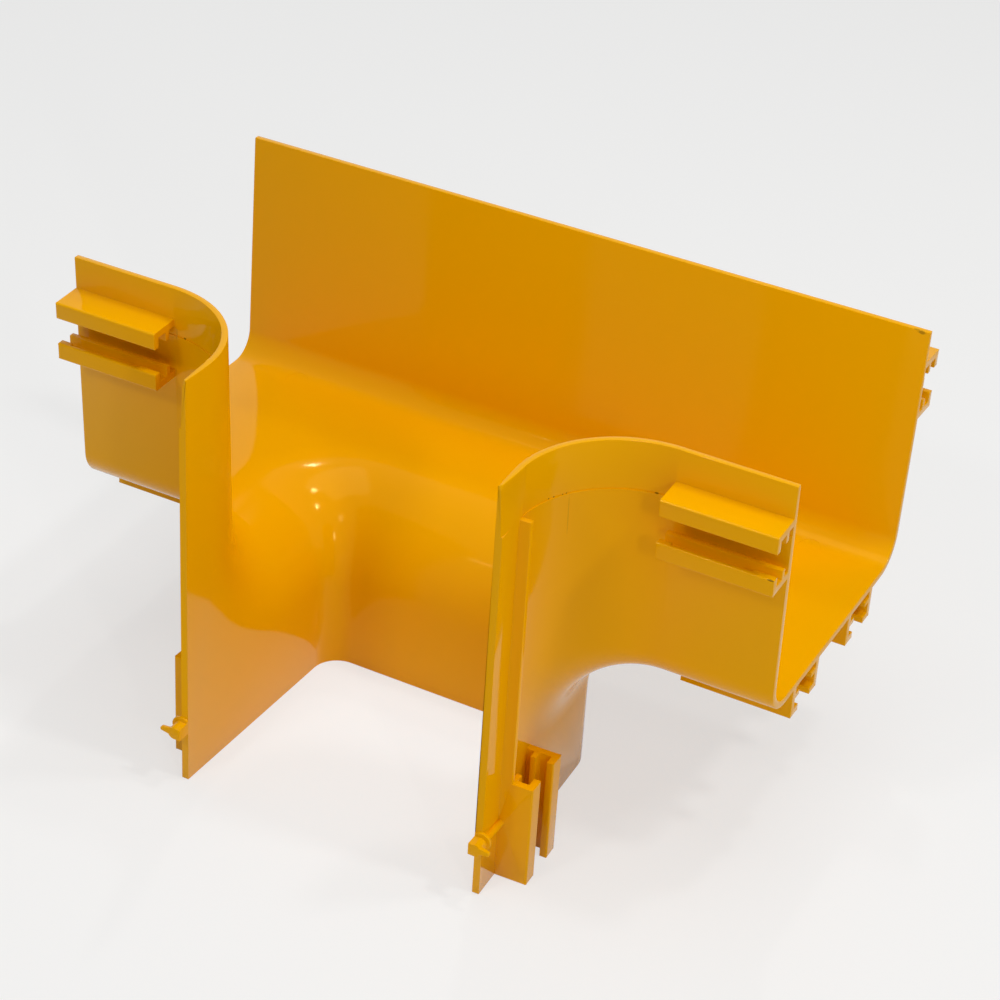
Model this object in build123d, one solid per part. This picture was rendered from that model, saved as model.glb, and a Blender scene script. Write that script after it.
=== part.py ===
from build123d import *
import os
from math import cos, radians, tan

# Raceway vertical tee for a fibre duct, injection moulded in one piece.
# A horizontal run, open at the top, opens through a flared mouth into a leg that hangs down,
# open at the front. The run's two ends and the leg's lower end are three like ports.
# +X lies along the run, +Y points to the back and +Z up. The origin is the middle of the
# lower end face of the leg's back wall. Lengths are in millimetres, angles in degrees.

os.makedirs("parts", exist_ok=True)

# Duct section, outside sizes, the same at all three ports
open_width = 131.8
duct_depth = 102.9
draft_angle = 2.1
wall = 2.9
corner_radius = 14.0

# Tee
run_length = 300.0
overall_height = 180.0
leg_reach = 54.6
flare_radius = 40.0

# Rim band: the wall is thinner above a parting step on the outside
rim_height = 20.4
rim_step = 0.4

# Coupler tracks: pairs of C-shaped halves on the outside of every port wall
track_length = 45.0
track_projection = 13.1
pair_width = 25.2
edge_margin = 13.4
base_pair_offset = 27.2
shelf = 3.0
lip = 3.0
lip_depth = 7.2
tongue = 2.3
tongue_depth = 6.8
tongue_offset = 3.2
track_rounding = 0.8

# Relief that thins the lower lip of the two front pairs: start and end from the pair's -X end
relief_start = 5.0
relief_end = 36.2
relief_depth = 1.8

# Guide rib up each side of the leg
guide_width = 2.5
guide_projection = 4.5

# Cover pins on the front edges of the leg: rod, collar, head and the catch at its tip
pin_height = 25.9
rod_radius = 1.5
rod_offset = 0.6
rod_drop = 0.4
collar_radius = 4.0
collar_back = 0.4
collar_front = 1.0
head_radius = 2.7
head_drop = 0.5
head_rise = 2.0
head_reach = 6.0
catch_length = 1.5
catch_outline = [(1.5, 1.4), (5.6, 0.8), (6.2, 0.2), (6.1, -0.9), (1.5, -1.8)]

# Upper front corners of the leg, thinned from the outside and cut off at the tip
thinned_back = 20.8
thinned_top = 1.7
thinned_foot = 0.7
tip_back = 0.8
tip_drop = 2.3

# Ejector marks on the floor of the run
mark_radius = 4.75
mark_depth = 0.12
mark_x = 119.0
mark_y = 48.5

# Overlap of an added feature with the wall that carries it, and overrun of a cut
bite = 1.2
overrun = 5.0

# Places worked out from the sizes above
lean = radians(draft_angle)
base_half = open_width / 2 - duct_depth * tan(lean)
leg_back = wall / 2
leg_front = leg_back - duct_depth
run_axis = leg_front + leg_reach + open_width / 2
run_base = overall_height - duct_depth
rim_level = overall_height - rim_height
band_front = leg_front + edge_margin + guide_width


def run_plane(x):
    """Plane across the run at x, its own y rising from the floor to the open side."""
    return Plane(origin=(x, run_axis, run_base), x_dir=(0, 1, 0), z_dir=(1, 0, 0))


def leg_plane(z):
    """Plane across the leg at z, its own y going from the back wall out to the open side."""
    return Plane(origin=(0, leg_back, z), x_dir=(-1, 0, 0), z_dir=(0, 0, 1))


def raise_from(plane, sketch, length):
    """Sketch in the coordinates of a plane, pulled along the plane's normal."""
    return extrude(plane * sketch, amount=length, dir=plane.z_dir)


def duct_section(inset, rise):
    """Trapezoid of the duct, its faces moved in by inset and its open side raised by rise."""
    slope = tan(lean)
    side = base_half - inset / cos(lean)
    top = duct_depth + rise
    low_half = side + inset * slope
    top_half = side + top * slope
    outline = Polyline((-top_half, top), (-low_half, inset), (low_half, inset), (top_half, top), close=True)
    face = make_face(outline)
    base_corners = face.vertices().sort_by(Axis.Y)[:2]
    return fillet(base_corners, corner_radius - inset)


def on_surface(solid, point):
    """True where a point lies on one of the faces of a solid."""
    return min(face.distance_to(Vertex(*point)) for face in solid.faces()) < 0.01


def duct_body(inset, rise):
    """Run and leg as one solid, with a flare all round the mouth where they meet."""
    section = duct_section(inset, rise)
    run = raise_from(run_plane(-run_length / 2 - rise), section, run_length + 2 * rise)
    leg = raise_from(leg_plane(-rise), section, overall_height + 2 * rise)
    body = run + leg
    mouth = body.edges().filter_by(lambda e: on_surface(run, e @ 0.5) and on_surface(leg, e @ 0.5))
    return fillet(mouth, flare_radius + inset)


def above_rim(front):
    """Everything above the rim level that lies behind y = front."""
    return Pos(0, front, rim_level) * Box(
        2 * run_length, 2 * run_length, overall_height, align=(Align.CENTER, Align.MIN, Align.MIN)
    )


def shell():
    """Duct wall: the outside, set back above the rim level behind the guide ribs, less the inside."""
    band = above_rim(band_front)
    outside = duct_body(0, 0) - band
    outside += duct_body(rim_step, 0) & band
    return outside - duct_body(wall, overrun)


def both_sides(sketch):
    """Sketch set on both side walls of a section. Its x runs down the wall from the open edge
    and its y points out of the wall."""
    placed = Pos(open_width / 2, duct_depth) * Rot(0, 0, -90 - draft_angle) * sketch
    return placed + mirror(placed, about=Plane.YZ)


def track_half():
    """C-shaped half of a track pair: shelf, lip turned to the partner and tongue inside."""
    outline = Polyline(
        (0, -bite),
        (0, track_projection),
        (lip_depth, track_projection),
        (lip_depth, track_projection - lip),
        (shelf, track_projection - lip),
        (shelf, tongue_offset + tongue),
        (tongue_depth, tongue_offset + tongue),
        (tongue_depth, tongue_offset),
        (shelf, tongue_offset),
        (shelf, -bite),
        close=True,
    )
    half = make_face(outline)
    outer = half.vertices().group_by(Axis.Y)[-1]
    return fillet(outer, track_rounding)


def track_pair():
    """Two halves facing each other, from the one nearest the open edge."""
    half = track_half()
    return half + Pos(pair_width, 0) * mirror(half, about=Plane.YZ)


def track_section():
    """The four pairs of one port: one on each side wall and two on the base."""
    pair = track_pair()
    section = both_sides(Pos(edge_margin, 0) * pair)
    for middle in (-base_pair_offset, base_pair_offset):
        section += Pos(middle + pair_width / 2, 0) * Rot(0, 0, 180) * pair
    return section


def tracks():
    """Tracks of the three ports, flush with the ports' end faces."""
    section = track_section()
    right = raise_from(run_plane(run_length / 2 - track_length), section, track_length)
    left = raise_from(run_plane(-run_length / 2), section, track_length)
    leg = raise_from(leg_plane(0), section, track_length)
    return right + left + leg


def lip_reliefs():
    """Cuts behind the lower lip of the two front pairs, down to the shelf."""
    block = Rectangle(lip_depth - shelf + overrun, relief_depth, align=(Align.MAX, Align.MIN))
    placed = Pos(edge_margin + pair_width - shelf, track_projection - lip) * block
    front = mirror(Pos(open_width / 2, duct_depth) * Rot(0, 0, -90 - draft_angle) * placed, about=Plane.YZ)
    cuts = Part()
    for pair_start in (-run_length / 2, run_length / 2 - track_length):
        cuts += raise_from(run_plane(pair_start + relief_start), front, relief_end - relief_start)
    return cuts


def guide_ribs():
    """Thin ribs from the leg's side tracks up to the rim level."""
    rib = Pos(edge_margin, -bite) * Rectangle(guide_width, guide_projection + bite, align=(Align.MIN, Align.MIN))
    return raise_from(leg_plane(track_length), both_sides(rib), rim_level - track_length)


def cover_pins():
    """Pin on each front edge of the leg, flat on its inner side in line with the wall."""
    axis_offset = head_radius - wall
    front = Plane(origin=(open_width / 2 + axis_offset, leg_front, pin_height), x_dir=(1, 0, 0), z_dir=(0, -1, 0))
    inner_side = Pos(-head_radius, 0) * Rectangle(
        2 * collar_radius, 4 * collar_radius, align=(Align.MIN, Align.CENTER)
    )
    rod = raise_from(front, Pos(rod_offset, -rod_drop) * Circle(rod_radius), -edge_margin - bite)
    collar = raise_from(front.offset(-collar_back), Circle(collar_radius) & inner_side, collar_back + collar_front)
    flat = Pos(-head_radius, -head_drop - head_radius) * Rectangle(
        head_radius, head_drop + head_radius + head_rise, align=(Align.MIN, Align.MIN)
    )
    head = raise_from(front, Pos(0, -head_drop) * Circle(head_radius) + flat, head_reach)
    hook = make_face(Polyline(*catch_outline, close=True))
    catch = raise_from(front.offset(head_reach - catch_length), hook, catch_length)
    pin = rod + collar + head + catch
    return pin + mirror(pin, about=Plane.YZ)


def block_beyond(first, second, third, size):
    """Block on the side of the plane through three points that their order turns right-handed about."""
    plane = Plane(origin=first, x_dir=second - first, z_dir=(second - first).cross(third - first))
    return raise_from(plane, Rectangle(2 * size, 2 * size), wall)


def corner_thinning():
    """Cuts that thin the leg's upper front corners from the outside and take off their tips."""
    half = open_width / 2
    top = Vector(half - thinned_top, leg_front, overall_height)
    foot = Vector(half - thinned_foot, leg_front, rim_level)
    back = Vector(half - thinned_back * tan(lean), leg_front + thinned_back, overall_height)
    corner = above_rim(leg_front - overrun) - above_rim(band_front)
    cuts = block_beyond(top, foot, back, thinned_back + rim_height) & corner
    tip = Vector(half - wall, leg_front, overall_height)
    tip_low = top + (foot - top) * (tip_drop / rim_height)
    tip_rear = top + (back - top) * (tip_back / thinned_back)
    cuts += block_beyond(tip, tip_low, tip_rear, tip_drop)
    return cuts + mirror(cuts, about=Plane.YZ)


def ejector_marks():
    """Shallow discs sunk by one even depth where the floor turns up into the run's back wall."""
    skin = raise_from(run_plane(-run_length / 2), duct_section(wall - mark_depth, 0), run_length)
    discs = Part()
    for x in (-mark_x, mark_x):
        discs += Pos(x, run_axis + mark_y, run_base) * Cylinder(
            mark_radius, corner_radius, align=(Align.CENTER, Align.CENTER, Align.MIN)
        )
    return discs & skin


tee = shell()
tee += tracks()
tee += guide_ribs()
tee += cover_pins()
tee -= lip_reliefs()
tee -= corner_thinning()
tee -= ejector_marks()

export_step(tee, "parts/tee_body.step")
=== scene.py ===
"""Looks, light and camera for the raceway vertical tee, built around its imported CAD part."""

import logging
from dataclasses import dataclass
from math import radians
from typing import Any

import bmesh
import bpy
from mathutils import Euler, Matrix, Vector


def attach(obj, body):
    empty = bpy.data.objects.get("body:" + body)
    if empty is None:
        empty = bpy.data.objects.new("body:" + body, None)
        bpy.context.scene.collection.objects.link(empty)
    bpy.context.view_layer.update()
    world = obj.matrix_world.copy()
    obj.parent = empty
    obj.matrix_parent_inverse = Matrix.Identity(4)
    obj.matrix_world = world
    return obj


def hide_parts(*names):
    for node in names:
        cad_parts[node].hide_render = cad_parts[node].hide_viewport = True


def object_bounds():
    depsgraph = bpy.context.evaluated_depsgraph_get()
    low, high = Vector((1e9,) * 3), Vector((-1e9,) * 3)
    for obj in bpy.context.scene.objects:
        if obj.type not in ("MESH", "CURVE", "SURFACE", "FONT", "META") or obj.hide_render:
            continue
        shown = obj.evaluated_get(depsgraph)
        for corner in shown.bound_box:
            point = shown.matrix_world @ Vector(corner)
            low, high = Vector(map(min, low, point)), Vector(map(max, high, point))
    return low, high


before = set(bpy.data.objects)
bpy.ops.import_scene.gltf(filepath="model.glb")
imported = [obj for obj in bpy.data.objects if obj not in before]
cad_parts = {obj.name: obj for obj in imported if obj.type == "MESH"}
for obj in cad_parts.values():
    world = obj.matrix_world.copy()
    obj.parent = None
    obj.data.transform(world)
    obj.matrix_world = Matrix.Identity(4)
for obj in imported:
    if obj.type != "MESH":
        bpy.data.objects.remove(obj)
CAD_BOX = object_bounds()

MM = 0.001

log = logging.getLogger("raceway_tee")


def linear(code: str) -> tuple[float, float, float, float]:
    """Turns an sRGB hex colour into linear values.

    Args:
        code: Six hex digits, with or without a leading hash.

    Returns:
        Red, green, blue and an alpha of 1.
    """
    digits = code.lstrip("#")
    values = []
    for start in (0, 2, 4):
        v = int(digits[start : start + 2], 16) / 255
        values.append(v / 12.92 if v <= 0.04045 else ((v + 0.055) / 1.055) ** 2.4)
    return (values[0], values[1], values[2], 1.0)


def add_node(
    tree: bpy.types.NodeTree, kind: str, settings: dict[str, Any] | None = None, links: dict[Any, Any] | None = None
) -> bpy.types.Node:
    """Adds one node with its settings and links.

    Args:
        tree: The node tree that gets it.
        kind: The node's type name, such as ShaderNodeMath.
        settings: Attribute names, or input names or numbers, with their values.
        links: Input names or numbers with the output sockets that feed them.

    Returns:
        The new node.
    """
    node = tree.nodes.new(kind)
    for name, value in (settings or {}).items():
        if isinstance(name, str) and hasattr(node, name):
            setattr(node, name, value)
        else:
            node.inputs[name].default_value = value
    for name, socket in (links or {}).items():
        tree.links.new(socket, node.inputs[name])
    return node


@dataclass(frozen=True)
class Scuff:
    """A small dark rub or speck: its middle and its reach each way along X, Y and Z, in millimetres."""

    middle: tuple[float, float, float]
    reach: tuple[float, float, float]
    strength: float


@dataclass(frozen=True)
class MouldedAbs:
    """Glossy injection-moulded ABS in traffic yellow.

    The pigment is dense, so the plastic is opaque and light that bounces inside the duct turns orange.
    The tool was polished, so highlights are tight, with a faint waviness from the melt's flow.
    Sizes of patterns are in millimetres.
    """

    name: str = "moulded ABS, traffic yellow"
    colour: str = "#F3AD00"
    scuff_colour: str = "#4A3208"
    gloss_tint: str = "#FFE28C"
    roughness: float = 0.1
    roughness_swing: float = 0.02
    ior: float = 1.5
    specular: float = 0.15
    flow_mm: float = 38.0
    flow_span: tuple[float, float] = (0.3, 0.7)
    ripple_mm: float = 9.0
    ripple_height_mm: float = 0.012
    grain_mm: float = 0.6
    scuff_fade: tuple[float, float] = (1.5, 1.1)
    scuffs: tuple[Scuff, ...] = ()

    def scuff_mask(self, tree: bpy.types.NodeTree, place: bpy.types.NodeSocket) -> bpy.types.NodeSocket:
        """Adds up the scuffs as soft ellipsoids in object space.

        Args:
            tree: The material's node tree.
            place: Object coordinates in metres.

        Returns:
            A socket that is 0 on clean plastic and near 1 in a scuff.
        """
        grain = add_node(
            tree, "ShaderNodeTexNoise", {"Scale": 1 / (self.grain_mm * MM), "Detail": 2.0}, {"Vector": place}
        )
        clean, rubbed = self.scuff_fade
        total = None
        for scuff in self.scuffs:
            shifted = add_node(
                tree,
                "ShaderNodeVectorMath",
                {"operation": "SUBTRACT", 1: tuple(v * MM for v in scuff.middle)},
                {0: place},
            )
            scaled = add_node(
                tree,
                "ShaderNodeVectorMath",
                {"operation": "DIVIDE", 1: tuple(v * MM for v in scuff.reach)},
                {0: shifted.outputs[0]},
            )
            size = add_node(tree, "ShaderNodeVectorMath", {"operation": "LENGTH"}, {0: scaled.outputs[0]})
            rough = add_node(
                tree, "ShaderNodeMath", {"operation": "ADD"}, {0: size.outputs["Value"], 1: grain.outputs["Fac"]}
            )
            spot = add_node(
                tree,
                "ShaderNodeMapRange",
                {"interpolation_type": "SMOOTHSTEP", 1: clean, 2: rubbed, 3: 0.0, 4: scuff.strength},
                {0: rough.outputs[0]},
            )
            if total is None:
                total = spot.outputs[0]
            else:
                joined = add_node(tree, "ShaderNodeMath", {"operation": "MAXIMUM"}, {0: total, 1: spot.outputs[0]})
                total = joined.outputs[0]
        return total

    def material(self) -> bpy.types.Material:
        """Builds the material.

        Returns:
            The finished material.
        """
        made = bpy.data.materials.new(self.name)
        made.use_nodes = True
        tree = made.node_tree
        tree.nodes.clear()
        place = add_node(tree, "ShaderNodeTexCoord").outputs["Object"]
        flow = add_node(
            tree, "ShaderNodeTexNoise", {"Scale": 1 / (self.flow_mm * MM), "Detail": 2.0}, {"Vector": place}
        )
        low, high = self.flow_span
        polish = add_node(
            tree,
            "ShaderNodeMapRange",
            {1: low, 2: high, 3: self.roughness - self.roughness_swing, 4: self.roughness + self.roughness_swing},
            {0: flow.outputs["Fac"]},
        )
        ripple = add_node(
            tree, "ShaderNodeTexNoise", {"Scale": 1 / (self.ripple_mm * MM), "Detail": 1.0}, {"Vector": place}
        )
        skin = add_node(
            tree,
            "ShaderNodeBump",
            {"Strength": 1.0, "Distance": self.ripple_height_mm * MM},
            {"Height": ripple.outputs["Fac"]},
        )
        shader = add_node(
            tree,
            "ShaderNodeBsdfPrincipled",
            {
                "Base Color": linear(self.colour),
                "IOR": self.ior,
                "Specular IOR Level": self.specular,
                "Specular Tint": linear(self.gloss_tint),
            },
            {"Roughness": polish.outputs[0], "Normal": skin.outputs[0]},
        )
        if self.scuffs:
            mask = self.scuff_mask(tree, place)
            mixed = add_node(
                tree,
                "ShaderNodeMix",
                {"data_type": "RGBA", 6: linear(self.colour), 7: linear(self.scuff_colour)},
                {0: mask},
            )
            tree.links.new(mixed.outputs[2], shader.inputs["Base Color"])
        add_node(tree, "ShaderNodeOutputMaterial", links={"Surface": shader.outputs[0]})
        return made


WEAR = (
    # Rub on the back wall's rim at the right end
    Scuff((146.6, 82.1, 179.4), (1.8, 1.0, 0.9), 0.5),
    Scuff((144.8, 82.2, 180.0), (1.6, 0.8, 0.4), 0.35),
    # End of the lower lip of the right front track
    Scuff((148.6, -58.6, 147.9), (1.7, 0.6, 0.35), 0.8),
    # Specks along the parting step of the right curve
    Scuff((68.0, -71.0, 159.9), (0.5, 0.5, 0.35), 0.7),
    Scuff((69.0, -68.9, 159.9), (0.5, 0.5, 0.35), 0.7),
    Scuff((70.7, -65.5, 159.8), (0.4, 0.4, 0.3), 0.7),
    Scuff((71.5, -64.1, 159.8), (0.4, 0.4, 0.3), 0.7),
    Scuff((98.3, -46.5, 159.7), (0.9, 0.6, 0.35), 0.7),
    # Faint mould line under them
    Scuff((72.4, -63.2, 150.5), (0.17, 3.0, 10.5), 0.18),
    # Speck and short line on the left curve
    Scuff((-100.0, -46.1, 159.8), (0.8, 0.6, 0.35), 0.7),
    Scuff((-103.8, -46.0, 160.6), (0.2, 1.5, 3.4), 0.3),
)


@dataclass
class TeeMoulding:
    """The whole tee as one moulding, with the softened edges that a mould gives.

    Lengths are in millimetres and angles in degrees.
    """

    node: str = "tee_body"
    edge_round: float = 0.28
    edge_steps: int = 2
    merge: float = 0.001
    flat_limit: float = 0.5
    sharp_limit: float = 35.0
    thin_face: float = 0.5
    finish: MouldedAbs = MouldedAbs(scuffs=WEAR)

    def merged(self) -> bmesh.types.BMesh:
        """Copy of the CAD mesh with its loose triangles joined, in pairs where they are flat.

        Returns:
            A bmesh in metres in the row frame.
        """
        mesh = bmesh.new()
        mesh.from_mesh(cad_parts[self.node].data)
        bmesh.ops.remove_doubles(mesh, verts=mesh.verts, dist=self.merge * MM)
        bmesh.ops.join_triangles(
            mesh,
            faces=mesh.faces,
            angle_face_threshold=radians(self.flat_limit),
            angle_shape_threshold=radians(180),
        )
        return mesh

    def breadth(self, edge: bmesh.types.BMEdge) -> float:
        """How far the narrower of an edge's two faces reaches away from it.

        Args:
            edge: An edge between two faces.

        Returns:
            The distance in metres.
        """
        start = edge.verts[0].co
        along = (edge.verts[1].co - start).normalized()
        return min(max((v.co - start).cross(along).length for v in face.verts) for face in edge.link_faces)

    def corners(self, mesh: bmesh.types.BMesh) -> list[bmesh.types.BMEdge]:
        """Sharp edges that get a rounding, without those beside a face too thin to take it.

        Args:
            mesh: The merged mesh.

        Returns:
            The edges to bevel.
        """
        sharp = [e for e in mesh.edges if len(e.link_faces) == 2 and e.calc_face_angle() > radians(self.sharp_limit)]
        return [e for e in sharp if self.breadth(e) > self.thin_face * MM]

    def build(self) -> bpy.types.Object:
        """Makes the visible moulding from the CAD node.

        Returns:
            The object that stands for the node.
        """
        mesh = self.merged()
        edges = self.corners(mesh)
        log.info("tee moulding: %d edges rounded", len(edges))
        bmesh.ops.bevel(
            mesh,
            geom=edges,
            offset=self.edge_round * MM,
            offset_type="OFFSET",
            affect="EDGES",
            segments=self.edge_steps,
            profile=0.5,
            material=-1,
            clamp_overlap=False,
        )
        for vert in mesh.verts:
            vert.co = [min(max(v, low), high) for v, low, high in zip(vert.co, *CAD_BOX)]
        bmesh.ops.triangulate(mesh, faces=mesh.faces, quad_method="BEAUTY", ngon_method="BEAUTY")
        for face in mesh.faces:
            face.smooth = True
        for edge in mesh.edges:
            if len(edge.link_faces) == 2 and edge.calc_face_angle() > radians(self.sharp_limit):
                edge.smooth = False
        data = bpy.data.meshes.new("tee_moulding")
        mesh.to_mesh(data)
        mesh.free()
        data.materials.append(self.finish.material())
        piece = bpy.data.objects.new("tee_moulding", data)
        bpy.context.scene.collection.objects.link(piece)
        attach(piece, "root")
        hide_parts(self.node)
        return piece


def seen_white(tree: bpy.types.NodeTree) -> bpy.types.NodeSocket:
    """One where the camera, a reflection or a see-through piece looks at the surround.

    Args:
        tree: The node tree that needs the mask.

    Returns:
        A socket that is 1 for those rays and 0 for light that falls on the object.
    """
    path = add_node(tree, "ShaderNodeLightPath")
    either = add_node(
        tree,
        "ShaderNodeMath",
        {"operation": "ADD", "use_clamp": True},
        {0: path.outputs["Is Camera Ray"], 1: path.outputs["Is Glossy Ray"]},
    )
    every = add_node(
        tree,
        "ShaderNodeMath",
        {"operation": "ADD", "use_clamp": True},
        {0: either.outputs[0], 1: path.outputs["Is Transmission Ray"]},
    )
    return every.outputs[0]


@dataclass(frozen=True)
class StudioPaper:
    """Matt background paper, pale grey where it takes the object's shadow and nearly white to look at."""

    name: str = "pale studio paper"
    colour: str = "#E6E6E4"
    white: str = "#FFFFFF"
    glow: float = 0.6

    def material(self) -> bpy.types.Material:
        """Builds the material.

        Returns:
            The finished material.
        """
        made = bpy.data.materials.new(self.name)
        made.use_nodes = True
        tree = made.node_tree
        tree.nodes.clear()
        paper = add_node(tree, "ShaderNodeBsdfDiffuse", {"Color": linear(self.colour)})
        glow = add_node(tree, "ShaderNodeEmission", {"Color": linear(self.white), "Strength": 1.0})
        share = add_node(tree, "ShaderNodeMath", {"operation": "MULTIPLY", 1: self.glow}, {0: seen_white(tree)})
        both = add_node(
            tree, "ShaderNodeMixShader", links={0: share.outputs[0], 1: paper.outputs[0], 2: glow.outputs[0]}
        )
        add_node(tree, "ShaderNodeOutputMaterial", links={"Surface": both.outputs[0]})
        return made


@dataclass(frozen=True)
class Softbox:
    """A rectangular studio lamp: direction to it from the object, distance and size in metres, and strength."""

    name: str
    toward: tuple[float, float, float]
    distance: float
    size: tuple[float, float]
    watts: float
    colour: str = "#FFFFFF"

    def build(self, target: Vector) -> bpy.types.Object:
        """Places the lamp.

        Args:
            target: The point that the lamp faces.

        Returns:
            The lamp's object.
        """
        data = bpy.data.lights.new(self.name, "AREA")
        data.shape = "RECTANGLE"
        data.size, data.size_y = self.size
        data.energy = self.watts
        data.color = linear(self.colour)[:3]
        lamp = bpy.data.objects.new(self.name, data)
        bpy.context.scene.collection.objects.link(lamp)
        direction = Vector(self.toward).normalized()
        lamp.location = target + direction * self.distance
        lamp.rotation_euler = direction.to_track_quat("Z", "Y").to_euler()
        return lamp


@dataclass
class Studio:
    """Pale floor, white surround, soft lamps and the photograph's camera.

    Lengths are in metres, but the camera's place, lens and sensor are in millimetres. Its turn is in degrees.
    """

    target: tuple[float, float, float] = (0.0, -0.01, 0.1)
    floor_reach: float = 6.0
    paper: StudioPaper = StudioPaper()
    world_colour: str = "#FFFFFF"
    world_strength: float = 0.2
    camera_place: tuple[float, float, float] = (405.74, -802.42, 674.28)
    camera_turn: tuple[float, float, float] = (57.2905, -3.1675, 28.0234)
    lens: float = 98.443
    sensor_width: float = 36.0
    camera_range: tuple[float, float] = (0.05, 50.0)
    lamps: tuple[Softbox, ...] = (
        Softbox("top softbox", (0.0, 0.0, 1.0), 1.6, (1.0, 1.0), 7.0),
        Softbox("back box", (-0.16, 0.45, 0.88), 1.7, (0.06, 0.12), 2.0),
        Softbox("top right box", (0.3, 0.15, 0.94), 1.6, (0.12, 0.12), 3.0),
        Softbox("high right box", (0.56, 0.0, 0.83), 1.6, (0.14, 0.14), 4.8),
        Softbox("front box", (-0.22, -0.7, 0.67), 1.8, (0.2, 0.12), 3.8),
        Softbox("front spot", (-0.392, -0.688, 0.6), 1.8, (0.02, 0.06), 0.3),
        Softbox("high front box", (0.35, -0.6, 0.74), 1.8, (0.2, 0.2), 1.2),
        Softbox("right spot", (0.65, -0.6, 0.42), 1.8, (0.08, 0.24), 3.0),
        Softbox("right softbox", (0.9, -0.3, 0.4), 1.8, (1.0, 1.0), 1.0),
        Softbox("low front softbox", (0.3, -0.9, -0.1), 1.8, (1.0, 0.6), 1.4),
    )

    def surround(self) -> None:
        """White world that lights the object plainly."""
        world = bpy.data.worlds.new("white surround")
        world.use_nodes = True
        tree = world.node_tree
        tree.nodes.clear()
        strength = add_node(
            tree, "ShaderNodeMapRange", {1: 0.0, 2: 1.0, 3: self.world_strength, 4: 1.0}, {0: seen_white(tree)}
        )
        glow = add_node(
            tree, "ShaderNodeBackground", {"Color": linear(self.world_colour)}, {"Strength": strength.outputs[0]}
        )
        add_node(tree, "ShaderNodeOutputWorld", links={"Surface": glow.outputs[0]})
        bpy.context.scene.world = world

    def floor(self) -> bpy.types.Object:
        """Pale floor under the leg that shows nearly white but for the object's shadow.

        Returns:
            The floor's object.
        """
        mesh = bmesh.new()
        bmesh.ops.create_grid(mesh, x_segments=1, y_segments=1, size=self.floor_reach)
        data = bpy.data.meshes.new("floor")
        mesh.to_mesh(data)
        mesh.free()
        data.materials.append(self.paper.material())
        plane = bpy.data.objects.new("floor", data)
        bpy.context.scene.collection.objects.link(plane)
        return plane

    def camera(self) -> bpy.types.Object:
        """Camera at the photograph's viewing angle.

        Returns:
            The camera's object.
        """
        data = bpy.data.cameras.new("photograph view")
        data.sensor_width = self.sensor_width
        data.lens = self.lens
        data.clip_start, data.clip_end = self.camera_range
        eye = bpy.data.objects.new("photograph view", data)
        eye.location = Vector(self.camera_place) * MM
        eye.rotation_euler = Euler([radians(v) for v in self.camera_turn])
        bpy.context.scene.collection.objects.link(eye)
        bpy.context.scene.camera = eye
        return eye

    def build(self) -> None:
        """Sets up everything round the object."""
        self.surround()
        self.floor()
        target = Vector(self.target)
        for lamp in self.lamps:
            lamp.build(target)
        self.camera()
        bpy.context.scene.view_settings.view_transform = "Standard"


def main() -> None:
    """Builds the moulding and the studio, in order."""
    logging.basicConfig(level=logging.INFO)
    tee = TeeMoulding().build()
    log.info("%s: %d faces", tee.name, len(tee.data.polygons))
    Studio().build()


if __name__ == "__main__":
    main()
